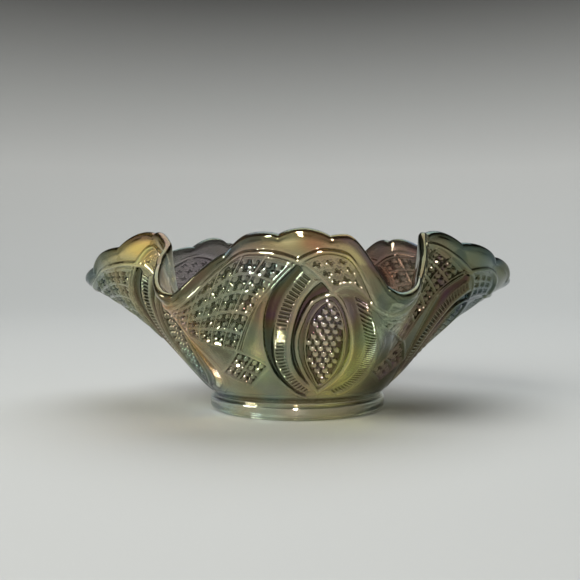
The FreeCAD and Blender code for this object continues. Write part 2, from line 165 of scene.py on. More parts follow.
COLUMNS = 1500
PER_REPEAT = COLUMNS // REPEATS
PITCH = 360.0 / COLUMNS
FIRST_ANGLE = -45.0
WALL_ROWS = 340

azimuths = PATTERN_TURN + FIRST_ANGLE + PITCH * np.arange(COLUMNS)
shares = np.linspace(0.0, 1.0, WALL_ROWS + 1)
band_row = int(round(BAND * WALL_ROWS))


def outside_points(azimuth):
    """The plain outside from the foot to the lip's edge, one row per share."""
    low = cubic(meridian(azimuth, 0.0), shares[:band_row])
    high = cubic(rim_band(azimuth, 0.0)[0], (shares[band_row:] - BAND) / (1.0 - BAND))
    return in_space(azimuth, np.vstack([low[0], high[0]]), np.vstack([low[1], high[1]]))


# ------------------------------------------------------------------ drawing the pressed pattern
#
# One repeat is drawn over angle (degrees from the medallion's axis) and share. The mould was
# even all round, so lengths are taken on its plain flared wall.

DRAWN_LOW, DRAWN_COLUMNS = -69.0, 440
angle_axis = DRAWN_LOW + PITCH * np.arange(DRAWN_COLUMNS)
ANGLE, SHARE = np.meshgrid(angle_axis, shares)
WALL_LENGTH, WALL_SPREAD = 84.0, 47.0


def degree_length(share):
    """How long one degree is round the plain wall at a share."""
    return (BASE_RADIUS + WALL_SPREAD * share) * math.pi / 180.0


PER_DEGREE = degree_length(SHARE)
# the height drawn so far, and where anything has been drawn
relief = np.zeros_like(ANGLE)
touched = np.zeros(ANGLE.shape, bool)
LINE_STEPS = 8


def smooth_line(points, closed=False):
    """A smooth line through a few places, LINE_STEPS of it from each to the next."""
    p = np.array(points, float)
    if closed:
        p = np.vstack([p[-1], p, p[:2]])
    else:
        p = np.vstack([2 * p[0] - p[1], p, 2 * p[-1] - p[-2]])
    out = []
    for k in range(1, len(p) - 2):
        for t in np.arange(LINE_STEPS) / LINE_STEPS:
            out.append(0.5 * (
                2 * p[k] + (p[k + 1] - p[k - 1]) * t
                + (2 * p[k - 1] - 5 * p[k] + 4 * p[k + 1] - p[k + 2]) * t * t
                + (3 * p[k] - p[k - 1] - 3 * p[k + 1] + p[k + 2]) * t ** 3))
    if not closed:
        out.append(p[-2])
    return np.array(out)


def window(places, margin):
    """The part of the grid round some places, as a pair of slices."""
    places = np.asarray(places)
    low, high = places.min(0), places.max(0)
    wide = margin / 0.85
    tall = margin / WALL_LENGTH
    c0 = int(np.clip((low[0] - wide - DRAWN_LOW) / PITCH, 0, DRAWN_COLUMNS - 1))
    c1 = int(np.clip((high[0] + wide - DRAWN_LOW) / PITCH + 2, 1, DRAWN_COLUMNS))
    r0 = int(np.clip((low[1] - tall) * WALL_ROWS, 0, WALL_ROWS))
    r1 = int(np.clip((high[1] + tall) * WALL_ROWS + 2, 1, WALL_ROWS + 1))
    return slice(r0, r1), slice(c0, c1)


def drawn_length(p, q):
    """Millimetres between two places of the drawing."""
    middle = degree_length((p[1] + q[1]) / 2.0)
    return math.hypot((q[0] - p[0]) * middle, (q[1] - p[1]) * WALL_LENGTH)


def to_line(line, at):
    """Distance from the grid to a line, and the length along it to the nearest place."""
    a, s, k = ANGLE[at], SHARE[at], PER_DEGREE[at]
    best = np.full(a.shape, 1e9)
    along = np.zeros(a.shape)
    walked = 0.0
    for p, q in zip(line[:-1], line[1:]):
        px, py = (p[0] - a) * k, (p[1] - s) * WALL_LENGTH
        dx, dy = (q[0] - p[0]) * k, (q[1] - p[1]) * WALL_LENGTH
        size = dx * dx + dy * dy + 1e-12
        t = np.clip(-(px * dx + py * dy) / size, 0.0, 1.0)
        gap = np.hypot(px + dx * t, py + dy * t)
        near = gap < best
        length = drawn_length(p, q)
        best = np.where(near, gap, best)
        along = np.where(near, walked + t * length, along)
        walked += length
    return best, along


def inside(outline, at):
    """Which grid points lie inside a closed outline."""
    a, s = ANGLE[at], SHARE[at]
    odd = np.zeros(a.shape, bool)
    for p, q in zip(outline, np.roll(outline, -1, axis=0)):
        if p[1] == q[1]:
            continue
        crossing = (p[1] > s) != (q[1] > s)
        where = p[0] + (s - p[1]) / (q[1] - p[1]) * (q[0] - p[0])
        odd ^= crossing & (a < where)
    return odd


def put(at, mask, height):
    """Set the height where the mask is true: one height, or one for each grid point."""
    part = relief[at]
    part[mask] = height[mask] if isinstance(height, np.ndarray) else height
    touched[at] |= mask


def ridge(line, half_width, height):
    """A rounded ridge along a line, on top of what is there."""
    at = window(line, half_width)
    near = np.clip(1.0 - (to_line(line, at)[0] / half_width) ** 2, 0.0, 1.0)
    part = relief[at]
    lifted = np.maximum(part, 0.0) * (1.0 - near) + height * near
    higher = (near > 0.0) & (lifted > part)
    part[higher] = lifted[higher]
    touched[at] |= higher


def ribbon(left, right, profile):
    """Between two lines, a height that depends on the place across, 0 at left to 1 at right."""
    outline = np.vstack([left, right[::-1]])
    at = window(outline, 0.5)
    mask = inside(outline, at)
    d0 = to_line(left, at)[0]
    d1 = to_line(right, at)[0]
    across = d0 / np.maximum(d0 + d1, 1e-6)
    put(at, mask, profile(across, d0 + d1))


def groove(depth):
    """A hollow channel with crisp edges, shallower where it is narrow."""
    def profile(across, width):
        return -depth * np.clip(width / 3.0, 0.0, 1.0) * np.sin(math.pi * across) ** 0.8
    return profile


def crown(height):
    """A rounded band, highest along its middle."""
    def profile(across, width):
        return height * np.sin(math.pi * across) ** 0.7
    return profile


def bars(left, right, middle, pitch, bar, depth):
    """A band cut into a file: narrow bars straight across it with hollows between."""
    outline = np.vstack([left, right[::-1]])
    at = window(outline, 0.5)
    mask = inside(outline, at)
    along = to_line(middle, at)[1]
    edge = np.minimum(to_line(left, at)[0], to_line(right, at)[0])
    phase = np.abs((along / pitch) % 1.0 - 0.5) * 2.0
    half = 1.0 - bar / pitch
    hollow = np.clip((half - phase) / 0.35, 0.0, 1.0) * np.clip(edge / 0.7, 0.0, 1.0)
    hollow = hollow * hollow * (3.0 - 2.0 * hollow)
    put(at, mask, 0.1 - depth * hollow)


def dome(place, radius, floor, height):
    """A round bead standing on a floor."""
    at = window([place], radius)
    a, s, k = ANGLE[at], SHARE[at], PER_DEGREE[at]
    gap = np.hypot((a - place[0]) * k, (s - place[1]) * WALL_LENGTH) / radius
    lifted = floor + (height - floor) * np.sqrt(np.clip(1.0 - gap * gap, 0.0, 1.0))
    part = relief[at]
    higher = (gap < 1.0) & (lifted > part)
    part[higher] = lifted[higher]


BEAD_SHARE, LEAST_BEAD, BEAD_TOP = 0.225, 0.35, 0.4


def cane(place, rows, columns, border, floor):
    """Cells between separators, each a hollow with four beads. place takes shares of the patch."""
    for r0, r1 in zip(rows[:-1], rows[1:]):
        for c0, c1 in zip(columns[:-1], columns[1:]):
            corners = [place(r0, c0), place(r0, c1), place(r1, c1), place(r1, c0)]
            sides = [drawn_length(p, q) for p, q in zip(corners, corners[1:] + corners[:1])]
            wide = (sides[0] + sides[2]) / 2.0
            tall = (sides[1] + sides[3]) / 2.0
            outline = np.array([
                place(r0 + (r1 - r0) * r, c0 + (c1 - c0) * c) for r, c in (
                    (0, 0), (0, .25), (0, .5), (0, .75), (0, 1), (.5, 1), (1, 1),
                    (1, .75), (1, .5), (1, .25), (1, 0), (.5, 0))])
            at = window(outline, 0.5)
            mask = inside(outline, at)
            edge = to_line(np.vstack([outline, outline[:1]]), at)[0]
            bank = border * min(1.0, tall / 6.0)
            sunk = np.clip((edge - bank) / 0.55, 0.0, 1.0)
            put(at, mask, floor * sunk * sunk * (3.0 - 2.0 * sunk))
            room_w, room_t = wide - 2.0 * bank, tall - 2.0 * bank
            radius = BEAD_SHARE * min(room_w, room_t * 1.15)
            if radius < LEAST_BEAD:
                continue
            for r in (0.29, 0.71):
                for c in (0.29, 0.71):
                    bead = place(r0 + (r1 - r0) * r, c0 + (c1 - c0) * c)
                    dome(bead, radius, floor, BEAD_TOP)


# ------------------------------------------------------------------ the lines of the pattern

CUSP = (-8.1, 0.855)
POINT = (-58.7, 0.80)
FOOT_OF_FAN = (-32.5, 0.415)

claw_outer = smooth_line([
    CUSP, (-12.7, 0.785), (-16.8, 0.71), (-19.8, 0.60), (-21.3, 0.47),
    (-21.6, 0.35), (-19.6, 0.22), (-15.7, 0.13), (-9.5, 0.05), (-3.0, 0.015)])
file_left = smooth_line([
    (-6.6, 0.80), (-9.8, 0.735), (-13.0, 0.655), (-15.6, 0.55), (-17.4, 0.41),
    (-17.4, 0.27), (-14.8, 0.175), (-10.0, 0.095), (-4.5, 0.05)])
file_right = smooth_line([
    (-4.3, 0.765), (-6.6, 0.705), (-9.3, 0.63), (-11.4, 0.52), (-13.0, 0.40),
    (-12.9, 0.28), (-10.6, 0.195), (-6.6, 0.125), (-2.0, 0.075)])
file_middle = (file_left + file_right) / 2.0
ridge_inner = smooth_line([
    (-1.5, 0.765), (-4.6, 0.715), (-7.6, 0.64), (-9.9, 0.53), (-11.4, 0.41),
    (-11.2, 0.295), (-9.0, 0.21), (-5.0, 0.14), (-0.5, 0.09)])
oval_left = smooth_line([
    (2.5, 0.70), (-1.2, 0.675), (-4.4, 0.63), (-7.2, 0.53), (-8.9, 0.43),
    (-8.6, 0.33), (-6.6, 0.24), (-3.2, 0.155), (2.6, 0.06)])
oval_right = smooth_line([
    CUSP, (-4.6, 0.82), (-1.6, 0.775), (2.3, 0.71), (5.6, 0.66), (8.8, 0.58),
    (11.3, 0.48), (12.4, 0.36), (11.4, 0.23), (8.0, 0.13), (2.6, 0.06)])
oval_right_low = oval_right[3 * LINE_STEPS:]
core = smooth_line([
    (1.6, 0.655), (-1.9, 0.61), (-4.4, 0.53), (-5.5, 0.42), (-4.8, 0.30), (-1.8, 0.20),
    (2.6, 0.115), (7.0, 0.18), (9.2, 0.29), (9.0, 0.40), (7.4, 0.52), (4.8, 0.61)], closed=True)
core = np.vstack([core, core[:1]])
right_file_inner = smooth_line([
    (8.6, 0.735), (10.8, 0.675), (13.6, 0.60), (16.4, 0.49), (17.9, 0.37),
    (17.9, 0.26), (15.4, 0.16), (9.0, 0.075)])
right_file_outer = smooth_line([
    (12.2, 0.785), (14.6, 0.73), (17.8, 0.645), (21.4, 0.52), (23.6, 0.38),
    (23.8, 0.25), (20.8, 0.135), (13.0, 0.055)])
right_file_middle = (right_file_inner + right_file_outer) / 2.0
right_outer = smooth_line([
    (13.3, 0.81), (16.4, 0.735), (20.2, 0.645), (24.4, 0.52), (26.7, 0.38),
    (26.8, 0.245), (23.6, 0.12), (15.0, 0.03)])
strap_outer = smooth_line([
    (-10.4, 0.85), (-14.8, 0.78), (-19.1, 0.705), (-22.6, 0.635), (-27.4, 0.53), FOOT_OF_FAN])
strap_inner = smooth_line([
    CUSP, (-12.9, 0.782), (-17.0, 0.72), (-20.6, 0.655), (-24.9, 0.545), (-30.4, 0.405)])
patch_low = smooth_line([(2.3, 0.715), (4.3, 0.745), (7.4, 0.775), (11.6, 0.81)])
DIAMOND = np.array([FOOT_OF_FAN, (-20.6, 0.26), (-32.4, 0.115), (-45.5, 0.255)])
PLAIN_WEDGE = np.array([FOOT_OF_FAN, (-43.5, 0.565), (-39.3, 0.365)])


def fan_place(up, out):
    """A place in the fan: up is 0 at its lower edge to 1 under the arch, and out is 0 at the
    strap to 1 at the point where every row meets."""
    start = np.array([FOOT_OF_FAN[0] + 23.5 * up, FOOT_OF_FAN[1] + 0.43 * up])
    bend = np.array([-45.0 + 12.0 * up, 0.61 + 0.43 * up ** 0.6])
    return (1 - out) ** 2 * start + 2 * out * (1 - out) * bend + out * out * np.array(POINT)


def mixed(corners, up, out):
    """A place in a four-cornered patch, up and out being shares of its sides."""
    a, b, c, d = (np.array(p) for p in corners)
    return (a * (1 - out) + b * out) * (1 - up) + (d * (1 - out) + c * out) * up


long_arch = np.array([fan_place(1.02, t) for t in np.linspace(-0.02, 1.0, 40)])
short_arch = smooth_line([
    CUSP, (-4.4, 0.89), (-0.4, 0.915), (4.0, 0.915), (9.0, 0.89), (13.3, 0.835)])

# the fan, its strap and the right-hand patch
FAN_ROWS = (0.0, 0.19, 0.385, 0.58, 0.77, 0.95)
FAN_COLUMNS = (0.015, 0.165, 0.30, 0.425, 0.54, 0.65, 0.75, 0.85)
cane(fan_place, FAN_ROWS, FAN_COLUMNS, 0.75, -1.05)
for up in FAN_ROWS[1:-1]:
    row = np.array([fan_place(up, t) for t in np.linspace(0.0, 1.0, 30)])
    ridge(row, 1.0, 0.5)
for out in FAN_COLUMNS[:-1]:
    column = np.array([fan_place(t, out) for t in np.linspace(0.0, 1.0, 16)])
    ridge(column, 0.5, 0.8)
PATCH = (CUSP, (4.6, 0.90), (11.4, 0.812), (2.4, 0.718))
cane(lambda up, out: mixed(PATCH, up, out), (0.04, 0.36, 0.68, 1.0), (0.1, 0.4, 0.7, 1.0), 0.6, -1.0)
ribbon(strap_outer, strap_inner, groove(0.3))
ridge(strap_outer, 0.55, 0.8)
ridge(strap_inner, 0.55, 0.8)

# the two claws and the oval between them
FILE_PITCH, FILE_BAR = 1.85, 0.62
ribbon(claw_outer, np.vstack([[CUSP], file_left]), groove(1.6))
ribbon(file_right, ridge_inner, crown(0.45))
bars(file_left, file_right, file_middle, FILE_PITCH, FILE_BAR, 0.95)
ribbon(ridge_inner, oval_left, groove(1.5))
ribbon(oval_left, core[:len(core) // 2 + 1], groove(0.8))
ribbon(oval_right_low, core[::-1][:len(core) // 2 + 1], groove(0.8))
ribbon(oval_right_low, np.vstack([[(5.0, 0.70)], right_file_inner]), groove(0.45))
bars(right_file_inner, right_file_outer, right_file_middle, FILE_PITCH, FILE_BAR, 1.0)
ribbon(right_file_outer, right_outer, crown(0.45))
ridge(claw_outer, 0.7, 0.35)
ridge(ridge_inner, 0.6, 0.35)
ridge(oval_left, 0.95, 0.5)
ridge(oval_right, 0.95, 0.5)
ridge(right_outer, 0.7, 0.3)
ridge(patch_low, 1.2, 0.4)
ridge(core, 0.55, 0.1)
# the mould's seam under the oval
ridge(np.array([(2.6, 0.0), (2.6, 0.07)]), 0.35, 0.3)

# the buttons in the oval
at = window(core, 0.5)
BUTTON_FLOOR, BUTTON_TOP, BUTTON_MARGIN = -1.15, 0.35, 1.15
BUTTON_PITCH, BUTTON_RADIUS = 3.6, 1.6
BUTTON_MIDDLE = 2.0
put(at, inside(core, at), BUTTON_FLOOR * np.clip(to_line(core, at)[0] / 0.7, 0.0, 1.0))
core_low, core_high = core.min(0), core.max(0)
# every second row is shifted by half a pitch, so the rows lie as in a honeycomb
row_step = BUTTON_PITCH * 0.866 / WALL_LENGTH
for row in range(int((core_high[1] - core_low[1]) / row_step) + 1):
    share = core_low[1] + row * row_step
    step = BUTTON_PITCH / degree_length(share)
    for column in range(-12, 13):
        angle = BUTTON_MIDDLE + step * (column + 0.5 * (row % 2))
        if not core_low[0] < angle < core_high[0]:
            continue
        grid_row, grid_column = int(share * WALL_ROWS), int((angle - DRAWN_LOW) / PITCH)
        spot = (slice(grid_row, grid_row + 1), slice(grid_column, grid_column + 1))
        if inside(core, spot)[0, 0] and to_line(core, spot)[0][0, 0] > BUTTON_MARGIN:
            dome((angle, share), BUTTON_RADIUS, BUTTON_FLOOR, BUTTON_TOP)

# the diamond, the plain wedge over it and the arches
cane(lambda up, out: mixed(DIAMOND, up, out), (0.03, 0.5, 0.97), (0.03, 0.5, 0.97), 0.55, -1.25)
ridge(np.vstack([DIAMOND, DIAMOND[:1]]), 0.8, 0.35)
at = window(PLAIN_WEDGE, 0.5)
put(at, inside(PLAIN_WEDGE, at), -0.3 * np.clip(
    to_line(PLAIN_WEDGE[1:], at)[0] / 2.2, 0.0, 1.0))
lower_edge = np.array([fan_place(0.0, t) for t in np.linspace(0.0, 1.0, 20)])
ridge(lower_edge, 0.8, 0.35)
under_arch = np.array([fan_place(0.965, t) for t in np.linspace(0.0, 1.0, 40)])
ridge(under_arch, 0.5, 0.4)
ridge(long_arch, 1.5, 1.15)
ridge(short_arch, 1.5, 1.15)

# ------------------------------------------------------------------ one repeat from its drawing

# the drawing runs past both ends of the repeat, and what is drawn there lands in its neighbour
first = int(round((FIRST_ANGLE - DRAWN_LOW) / PITCH))
one = relief[:, first:first + PER_REPEAT].copy()
marked = touched[:, first:first + PER_REPEAT].copy()
for start, stop, shift in (
    (0, first, PER_REPEAT),
    (first + PER_REPEAT, DRAWN_COLUMNS, -PER_REPEAT),
):
    for column in range(start, stop):
        to = column - first + shift
        if 0 <= to < PER_REPEAT:
            spill, mark = relief[:, column], touched[:, column]
            take = mark & (~marked[:, to] | (np.abs(spill) > np.abs(one[:, to])))
            one[take, to] = spill[take]
            marked[take, to] = True


def softened(height):
    """A little melting of sharp edges, as fire polishing leaves them."""
    beside = (np.roll(height, 1, 1) + np.roll(height, -1, 1)) / 2.0
    up = np.vstack([height[1:], height[-1:]])
    down = np.vstack([height[:1], height[:-1]])
    return height * 0.5 + beside * 0.25 + (up + down) * 0.125


height_all = np.tile(softened(one), (1, REPEATS))

# ------------------------------------------------------------------ the skin, ring by ring


def grid_normals(points):
    """The direction out of the glass at every point of the wall's grid."""
    around = np.roll(points, -1, 1) - np.roll(points, 1, 1)
    along = np.gradient(points, axis=0)
    normal = np.cross(around, along)
    return normal / np.linalg.norm(normal, axis=-1, keepdims=True)


# each scallop is a shallow flute at the top of the band
FLUTE_DEPTH = 0.45
plain = outside_points(azimuths)
flute = np.cos(np.radians(azimuths - SCALLOP_TURN) * SCALLOPS)[None] * FLUTE_DEPTH
flute = flute * np.clip((shares[:, None] - BAND) / 0.07, 0.0, 1.0)
flute = flute * np.clip((1.0 - shares[:, None]) / 0.015, 0.0, 1.0)
outside = plain + grid_normals(plain) * (height_all + flute)[..., None]

outer_curve, outer_way = rim_band(azimuths, 0.0)
inner_curve, inner_way = rim_band(azimuths, THICKNESS)
swell = THICKNESS * 2.0 / 3.0
LIP_ROWS = 13
lip = np.array([
    outer_curve[3], outer_curve[3] + outer_way * swell,
    inner_curve[3] + inner_way * swell, inner_curve[3]])
lip_points = in_space(azimuths, *cubic(lip, np.linspace(0.0, 1.0, LIP_ROWS + 2)[1:-1]))
inner_high = in_space(azimuths, *cubic(inner_curve, np.linspace(1.0, 0.0, 11)))
inner_low_shares = np.linspace(BAND, 0.0, 46)[1:]
inner_low = in_space(azimuths, *cubic(meridian(azimuths, THICKNESS), inner_low_shares))

rings = []
kinds = []


def add_rings(points, kind):
    """Add rings to the skin, each marked with the piece that the faces past it belong to."""
    for row in points:
        rings.append(row)
        kinds.append(kind)


def circle(radius, height, count=COLUMNS):
    """One level ring of points."""
    turn = np.radians(azimuths[:: COLUMNS // count])
    return np.stack([
        radius * np.sin(turn), -radius * np.cos(turn), np.full(count, float(height))], -1)


def arc(centre, radius, start, stop, steps):
    """Places on a quarter round: (radius from the axis, height)."""
    for t in np.linspace(start, stop, steps):
        yield (centre[0] + radius * math.cos(math.radians(t)),
               centre[1] + radius * math.sin(math.radians(t)))


# from the middle of the underside out to the foot, then up to the wall
BORE_FILLET, BORE_ROUND = 1.5, 1.2
foot_outline = [(r, FOOT_TOP) for r in (8.0, 16.0, 24.0, 31.0)]
foot_outline += list(
    arc((FOOT_BORE - BORE_FILLET, FOOT_TOP - BORE_FILLET), BORE_FILLET, 90.0, 0.0, 5))
foot_outline += list(arc((FOOT_BORE + BORE_ROUND, BORE_ROUND), BORE_ROUND, 180.0, 270.0, 6))
foot_outline += [(r, 0.0) for r in (39.0, 41.0)]
foot_outline += list(arc((FOOT_RADIUS - FOOT_ROUND, FOOT_ROUND), FOOT_ROUND, -90.0, 0.0, 10))
foot_outline += [(FOOT_RADIUS, 4.0)]
foot_outline += list(
    arc((FOOT_RADIUS - FOOT_ROUND, FOOT_TOP - FOOT_ROUND), FOOT_ROUND, 0.0, 70.0, 8))
foot_outline += [(44.2, FOOT_TOP + 0.4), (44.6, FOOT_TOP + 1.1), (45.3, FOOT_TOP + 1.9)]
HALVED, QUARTER = COLUMNS // 2, COLUMNS // 4
add_rings([circle(2.0, FOOT_TOP, QUARTER), circle(5.0, FOOT_TOP, HALVED)], "foot")
add_rings([circle(r, z) for r, z in foot_outline], "foot")
add_rings(outside[:band_row], "wall")
add_rings(outside[band_row:], "rim")
add_rings(lip_points, "rim")
add_rings(inner_high, "rim")
add_rings(inner_low, "inside")
seat = np.array([
    BASE_RADIUS - THICKNESS * math.sin(BASE_ANGLE), BASE_HEIGHT + THICKNESS * math.cos(BASE_ANGLE)])
floor_bend, floor_edge = np.array([39.6, FLOOR_TOP]), np.array([36.0, FLOOR_TOP])
for t in np.linspace(0.0, 1.0, 8)[1:]:
    r, z = (1 - t) ** 2 * seat + 2 * t * (1 - t) * floor_bend + t * t * floor_edge
    add_rings([circle(r, z)], "inside")
add_rings([circle(r, FLOOR_TOP) for r in (30.0, 22.0, 15.0, 9.0)], "inside")
add_rings([circle(5.0, FLOOR_TOP, HALVED), circle(2.0, FLOOR_TOP, QUARTER)], "inside")

# ------------------------------------------------------------------ faces

# where each ring's points start; two more points close the middle of the underside and floor
starts = np.cumsum([0] + [len(r) for r in rings])
places = np.vstack(rings)
bottom_pole, top_pole = len(places), len(places) + 1
places = np.vstack([places, [(0, 0, FOOT_TOP)], [(0, 0, FLOOR_TOP)]])
quads, triangles = {}, {}


def add_faces(store, name, faces):
    """Add faces to a piece, or start it with them."""
    store.setdefault(name, []).append(faces)


wall_first = kinds.index("wall")
SECTORS = ["pressed_wall_%d" % (k + 1) for k in range(REPEATS)]
for i in range(len(rings) - 1):
    n, m = len(rings[i]), len(rings[i + 1])
    kind = kinds[i]
    a, b = starts[i], starts[i + 1]
    if n == m:
        j = np.arange(n)
        k = (j + 1) % n
        faces = np.stack([a + j, a + k, b + k, b + j], 1)
        if kind == "wall":
            for sector in range(REPEATS):
                part = faces[sector * PER_REPEAT:(sector + 1) * PER_REPEAT]
                add_faces(quads, SECTORS[sector], part)
        else:
            add_faces(quads, kind, faces)
        continue
    few, many, base_few, base_many = (n, m, a, b) if n < m else (m, n, b, a)
    j = np.arange(few)
    k = (j + 1) % few
    p, q = base_few + j, base_few + k
    u, v, w = base_many + 2 * j, base_many + 2 * j + 1, base_many + (2 * j + 2) % many
    faces = [np.stack([p, v, u], 1), np.stack([p, q, v], 1), np.stack([q, w, v], 1)]
    if n > m:
        faces = [f[:, ::-1] for f in faces]
    for f in faces:
        add_faces(triangles, kind, f)
j = np.arange(QUARTER)
k = (j + 1) % QUARTER
last = starts[-2]
add_faces(triangles, "foot", np.stack([np.full(QUARTER, bottom_pole), k, j], 1)[:, ::-1])
add_faces(triangles, "inside", np.stack([np.full(QUARTER, top_pole), last + j, last + k], 1))

# vertex normals over the whole skin, so that no joint between pieces shows
normals = np.zeros_like(places)
for store in (quads, triangles):
    for parts in store.values():
        faces = np.vstack(parts)
        if faces.shape[1] == 4:
            flat = np.cross(places[faces[:, 2]] - places[faces[:, 0]],
                            places[faces[:, 3]] - places[faces[:, 1]])
        else:
            flat = np.cross(places[faces[:, 1]] - places[faces[:, 0]],
                            places[faces[:, 2]] - places[faces[:, 0]])
        for corner in range(faces.shape[1]):
            for axis in range(3):
                normals[:, axis] += np.bincount(
                    faces[:, corner], flat[:, axis], minlength=len(places))
normals /= np.maximum(np.linalg.norm(normals, axis=1, keepdims=True), 1e-12)

# ------------------------------------------------------------------ colour carried by the glass

SMOKE = np.array((0.32, 0.325, 0.26))


def glass_tint():
    """The glass's colour: smoke, with amber, straw and rose where the film pooled, and with painted
    shade, a painted highlight and painted reflection laid in.
    """
    azimuth = np.degrees(np.arctan2(places[:, 0], -places[:, 1]))
    height = places[:, 2]
    tint = np.tile(SMOKE, (len(places), 1))

    def stain_or_painted_light(colour, az, z, wide, tall, strength):
        """A soft patch of stain or painted light round a place (azimuth, height), so many degrees
        wide and mm tall.
        """
        turn = (azimuth - az + 180.0) % 360.0 - 180.0
        amount = strength * np.exp(-(turn / wide) ** 2 - ((height - z) / tall) ** 2)
        tint[:] = tint * (1 - amount[:, None]) + np.array(colour) * amount[:, None]

    # the back, seen over the front rim: wine brown to the right, mauve to the left
    stain_or_painted_light((0.40, 0.19, 0.16), 148.0, 60.0, 34.0, 40.0, 0.85)
    stain_or_painted_light((0.52, 0.40, 0.44), -150.0, 60.0, 34.0, 40.0, 0.8)
    # the sides: olive to the right, darkened nearly to black as painted shade on the side away from
    # the key lamp; straw to the left with a gold crest and streak
    stain_or_painted_light((0.08, 0.075, 0.035), 82.0, 58.0, 44.0, 48.0, 0.95)
    stain_or_painted_light((0.10, 0.095, 0.05), 60.0, 42.0, 13.0, 26.0, 0.75)
    stain_or_painted_light((0.31, 0.28, 0.18), -96.0, 58.0, 26.0, 34.0, 0.7)
    stain_or_painted_light((0.95, 0.72, 0.26), -70.0, 85.0, 11.0, 11.0, 0.95)
    stain_or_painted_light((0.50, 0.50, 0.50), -54.0, 80.0, 5.0, 14.0, 0.8)
    stain_or_painted_light((1.0, 0.58, 0.10), -45.0, 44.0, 5.0, 20.0, 1.0)
    # the front: amber crest with a painted highlight on its bulge, brown claw, yellow-green right of
    # the medallion and on the shoulder, grey buttons, lavender in the plain glass to both sides, and
    # a foot lightened and greyed as painted reflection
    stain_or_painted_light((0.42, 0.24, 0.085), -4.0, 87.0, 24.0, 9.0, 0.9)
    # painted highlight: a small pale spot on the crest's bulge, where a lamp gleams
    stain_or_painted_light((0.90, 0.74, 0.42), -2.5, 87.0, 4.0, 3.5, 0.7)
    stain_or_painted_light((0.40, 0.16, 0.10), 4.0, 85.0, 3.5, 3.0, 0.6)
    stain_or_painted_light((0.30, 0.22, 0.12), -10.5, 50.0, 3.5, 24.0, 0.6)
    stain_or_painted_light((0.80, 0.88, 0.42), 24.0, 26.0, 12.0, 18.0, 0.95)
    stain_or_painted_light((0.56, 0.55, 0.26), 17.0, 80.0, 6.0, 8.0, 0.7)
    stain_or_painted_light((0.66, 0.69, 0.66), 10.5, 44.0, 4.5, 17.0, 0.75)
    stain_or_painted_light((0.66, 0.66, 0.36), -16.5, 33.0, 3.0, 9.0, 0.85)
    stain_or_painted_light((0.34, 0.22, 0.17), -27.0, 79.0, 9.0, 10.0, 0.8)
    stain_or_painted_light((0.64, 0.64, 0.70), -36.0, 27.0, 6.0, 7.0, 0.75)
    stain_or_painted_light((0.58, 0.58, 0.64), 32.0, 42.0, 5.0, 8.0, 0.75)
    # painted reflection: the foot lightened and greyed all round, and more on the left, toward the
    # window lamp
    stain_or_painted_light((0.60, 0.60, 0.56), 0.0, 4.0, 180.0, 7.0, 0.8)
    stain_or_painted_light((0.78, 0.82, 0.78), -52.0, 2.0, 34.0, 7.0, 0.7)
    # painted shade: the tint is darkened along the thick round edge of the rim, which looks dark in
    # the glass
    lip_middle = wall_first + WALL_ROWS + 1 + LIP_ROWS // 2
    for i in range(lip_middle - 21, lip_middle + 12):
        away = (lip_middle - i) / 14.0 if i < lip_middle else (i - lip_middle) / 8.0
        dark = np.clip(2.5 - 1.7 * away, 0.0, 1.0)
        tint[starts[i]:starts[i + 1]] *= 1.0 - 0.7 * dark
    return tint


tints = glass_tint()
shown_relief = np.zeros(len(places))
wall_slice = slice(starts[wall_first], starts[wall_first] + (WALL_ROWS + 1) * COLUMNS)
shown_relief[wall_slice] = height_all.reshape(-1)

# ------------------------------------------------------------------ material


